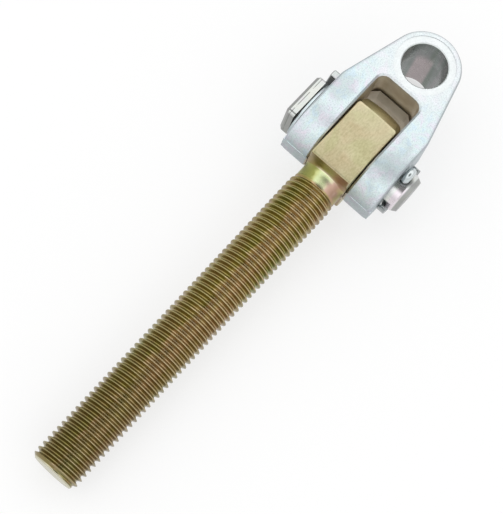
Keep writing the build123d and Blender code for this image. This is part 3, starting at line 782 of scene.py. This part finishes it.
def rod_zinc():
    """Yellow passivated zinc: pale straw on the forged knuckle, olive, gold and brown on the thread, with painted
    highlights and shade on the thread, the neck and the knuckle.
    """
    material, graph, shader, coords = new_material("rod_zinc")
    coords = graph.add("ShaderNodeMapping", {"Vector": coords, "Location": tuple(PIVOT),
                                             "Rotation": tuple(ROD_PLACE.to_euler())},
                       vector_type="TEXTURE").outputs[0]
    x, y, z = graph.from_point(coords, Vector((0, 0, 0)))
    radius = graph.length(coords, (0, 1, 1))

    # the angle round the rod, from its top, a little unsettled
    round_rod = graph.math("ARCTAN2", y, z)
    waver = graph.span(graph.noise(coords, scale=110, detail=2), *MIDDLE_NOISE, -ANGLE_WAVER, ANGLE_WAVER)
    round_rod = graph.math("ADD", round_rod, waver)

    # thread: coloured in patches along the rod, olive with painted shade down one side of its top, a painted
    # highlight across its top, painted highlights on the crests and painted shade on their flanks
    along = graph.stretched(coords, (14, 60, 60))
    bands = graph.noise(along, scale=1.0, detail=3, roughness=0.55, distortion=0.4)
    gold = graph.ramp(bands, THREAD_BANDS)
    olive_shade_side = graph.both(graph.span(round_rod, *OLIVE_FROM), graph.span(round_rod, *OLIVE_TO))
    gold = graph.cover(gold, olive_shade_side, OLIVE_SHADE_TINT, strength=0.5)
    top_highlight = graph.both(graph.span(round_rod, *PALE_FROM), graph.span(round_rod, *PALE_TO))
    gold = graph.cover(gold, top_highlight, TOP_HIGHLIGHT_TINT, strength=0.3)
    crest = graph.reach(radius, CREST_EDGE)
    crest_highlight = graph.mix(olive_shade_side, CREST_HIGHLIGHT_TINT, CREST_OLIVE_SHADE_TINT)
    crest_highlight = graph.mix(graph.span(graph.size(round_rod), *CREST_SIDE), crest_highlight, CREST_SIDE_SHADE_TINT)
    gold = graph.cover(gold, crest, crest_highlight, strength=0.7)
    # painted shade on the flank under each crest, weaker on the olive side
    flank = graph.both(graph.reach(radius, FLANK_FOOT), graph.reach(radius, FLANK_TOP),
                       graph.span(graph.facing()["X"], *FLANK_SIDE))
    flank = graph.both(flank, graph.span(olive_shade_side, 0, 1, to_low=0.38, to_high=0.08))
    gold = graph.mix(flank, gold, FLANK_SHADE_TINT)
    gold = graph.mix(graph.reach(x, FAR_EDGE, most=0.26), gold, FAR_TINT)

    # neck: the passivation colour, with painted reflections and shade, changes round it, green towards one side
    # and pink towards the other
    around = graph.span(round_rod, -NECK_RAMP_ANGLE, NECK_RAMP_ANGLE, soft=False)
    film_and_reflections = graph.ramp(around, NECK_FILM_AND_REFLECTIONS)
    # a painted highlight along the flare
    line = graph.both(graph.reach(x, LINE_START), graph.reach(x, LINE_END),
                      graph.span(around, *LINE_FROM), graph.span(around, *LINE_TO))
    film_and_reflections = graph.cover(film_and_reflections, line, FLARE_HIGHLIGHT_TINT, strength=0.6)
    on_neck = graph.reach(x, NECK_EDGE)
    colour = graph.mix(on_neck, gold, film_and_reflections)

    # knuckle, lighter towards its round end, with a painted highlight on the round end where it faces the fork's
    # eye
    straw = graph.ramp(graph.noise(coords, scale=60, detail=3, roughness=0.6), STRAW)
    bloom = graph.ramp(graph.noise(coords, scale=42, detail=2, distortion=0.8), STRAW_BLOOM)
    straw = graph.mix(0.8, straw, bloom, "MULTIPLY")
    fine = graph.noise(graph.stretched(coords, (500, 900, 900)), scale=1.0, detail=3, roughness=0.65)
    straw = graph.mix(0.5, straw, graph.ramp(fine, STRAW_GRAIN), "MULTIPLY")
    straw = graph.mix(graph.reach(x, LIGHT_STRAW_EDGE, most=0.16), straw, LIGHT_STRAW)
    straw = graph.mix(graph.reach(x, DARK_STRAW_EDGE, most=0.14), straw, DARK_STRAW)
    # painted highlight on the round end
    round_end_highlight = graph.both(graph.span(graph.facing()["X"], *ROUND_END_LEAN), graph.reach(x, ROUND_END_EDGE))
    straw = graph.cover(straw, round_end_highlight, ROUND_END_HIGHLIGHT, strength=0.3)
    colour = graph.mix(graph.reach(x, KNUCKLE_EDGE), colour, straw)

    # the step up to the knuckle's flats, browner and with painted shade, and the turned end face
    back = graph.both(graph.span(graph.facing()["X"], *BACK_LEAN), graph.reach(x, BACK_EDGE))
    colour = graph.cover(colour, back, BACK_BROWN_AND_SHADE, strength=0.6)
    at_end = graph.reach(x, END_FACE_EDGE)
    faced = graph.ramp(graph.noise(radius, scale=1400, detail=2, roughness=0.6), END_RINGS)
    colour = graph.mix(at_end, colour, faced)
    graph.put(shader.inputs["Base Color"], colour)
    graph.put(shader.inputs["Roughness"], graph.span(on_neck, 0, 1, to_low=0.27, to_high=0.38))
    brushed = graph.noise(graph.stretched(coords, (150, 1500, 1500)), scale=1.0, detail=2)
    graph.put(shader.inputs["Normal"], graph.bump(brushed, distance_mm=0.06, strength=0.5))
    return material


def dress(obj, material):
    obj.data.materials.clear()
    obj.data.materials.append(material)


# ---- floor, light and camera --------------------------------------------------------------------------

FLOOR_HALF = 3000.0
FLOOR_GREY = (0.97, 0.97, 0.97, 1)
FLOOR_GLOW = 0.7            # how much of the floor's white is its own, to the eye and in the metal

# the room by height, from the horizon up; a dark patch overhead, with its half angles in degrees
ROOM = [(0.0, (0.725, 0.725, 0.725)), (0.12, (0.58, 0.58, 0.58)), (0.25, (0.66, 0.66, 0.66)),
        (0.75, (1.0, 1.0, 1.0))]
ROOM_STRENGTH = 1.38
PATCH_TINT, PATCH_LEAN_DEG, PATCH_Y, PATCH_EDGE_DEG = (0.12, 0.13, 0.12), 8, -0.2, (31, 17)

# the photograph's viewpoint
LENS = 112.88
SENSOR_HEIGHT = 36.0
CLIP_END = 20               # in metres
CAMERA_AT = Vector((-411.50, -92.73, 998.00))       # from the pivot
CAMERA_RIGHT = Vector((0.653548, -0.745233, 0.132298))
CAMERA_DOWN = Vector((-0.697653, -0.660914, -0.276536))
CAMERA_FORWARD = Vector((0.293521, 0.088432, -0.951854))


def floor():
    """A plain white floor that keeps a soft shadow, the same to the eye and in the metal."""
    half = FLOOR_HALF
    plane = new_object("floor", [(-half, -half, 0), (half, -half, 0), (half, half, 0), (-half, half, 0)],
                       [(0, 1, 2, 3)])
    material = bpy.data.materials.new("floor_white")
    material.use_nodes = True
    graph = Graph(material.node_tree)
    lit = graph.add("ShaderNodeBsdfDiffuse", {"Color": FLOOR_GREY})
    white = graph.add("ShaderNodeEmission", {"Color": (1, 1, 1, 1), "Strength": 1.0})
    rays = graph.add("ShaderNodeLightPath").outputs
    seen = graph.either(graph.either(rays["Is Camera Ray"], rays["Is Glossy Ray"]), rays["Is Transmission Ray"])
    both = graph.add("ShaderNodeMixShader", {"Fac": graph.math("MULTIPLY", seen, FLOOR_GLOW)})
    graph.put(both.inputs[1], lit.outputs[0])
    graph.put(both.inputs[2], white.outputs[0])
    output = graph.add("ShaderNodeOutputMaterial")
    graph.put(output.inputs["Surface"], both.outputs[0])
    dress(plane, material)


def surroundings():
    """A bright room, dimmer towards its walls, with a dark patch overhead where the onlooker stands."""
    world = bpy.data.worlds.new("room")
    bpy.context.scene.world = world
    world.use_nodes = True
    graph = Graph(world.node_tree)
    direction = graph.add("ShaderNodeTexCoord").outputs["Generated"]
    height = graph.add("ShaderNodeSeparateXYZ", {"Vector": direction}).outputs["Z"]
    room = graph.ramp(height, ROOM, "EASE")
    lean = math.radians(PATCH_LEAN_DEG)
    patch = Vector((-math.sin(lean), PATCH_Y, math.cos(lean))).normalized()
    toward = graph.add("ShaderNodeVectorMath", {0: direction, 1: tuple(patch)}, operation="DOT_PRODUCT")
    start, full = (math.cos(math.radians(angle)) for angle in PATCH_EDGE_DEG)
    inside = graph.span(toward.outputs["Value"], start, full)
    colour = graph.mix(inside, room, PATCH_TINT)
    background = graph.add("ShaderNodeBackground", {"Color": colour, "Strength": ROOM_STRENGTH})
    output = graph.add("ShaderNodeOutputWorld")
    graph.put(output.inputs["Surface"], background.outputs[0])


def camera():
    """High over the rod, looking down at its middle."""
    lens = bpy.data.cameras.new("camera")
    lens.sensor_fit = "VERTICAL"
    lens.sensor_height = SENSOR_HEIGHT
    lens.lens = LENS
    lens.clip_end = CLIP_END
    obj = bpy.data.objects.new("camera", lens)
    bpy.context.scene.collection.objects.link(obj)
    turn = Matrix((CAMERA_RIGHT, -CAMERA_DOWN, -CAMERA_FORWARD)).transposed().to_4x4()
    obj.matrix_world = Matrix.Translation(PIVOT + CAMERA_AT * MM) @ turn
    bpy.context.scene.camera = obj


bpy.context.scene.view_settings.view_transform = "Standard"
dress(threaded_rod(), rod_zinc())
dress(split_pin(), split_pin_zinc())
zinc = fork_zinc()
dress(frame["nodes"]["fork"], zinc)
for piece in (*burr_lines(), ear_pad()):
    dress(piece, zinc)
dress(frame["nodes"]["pivot_pin"], pin_zinc())
floor()
surroundings()
camera()
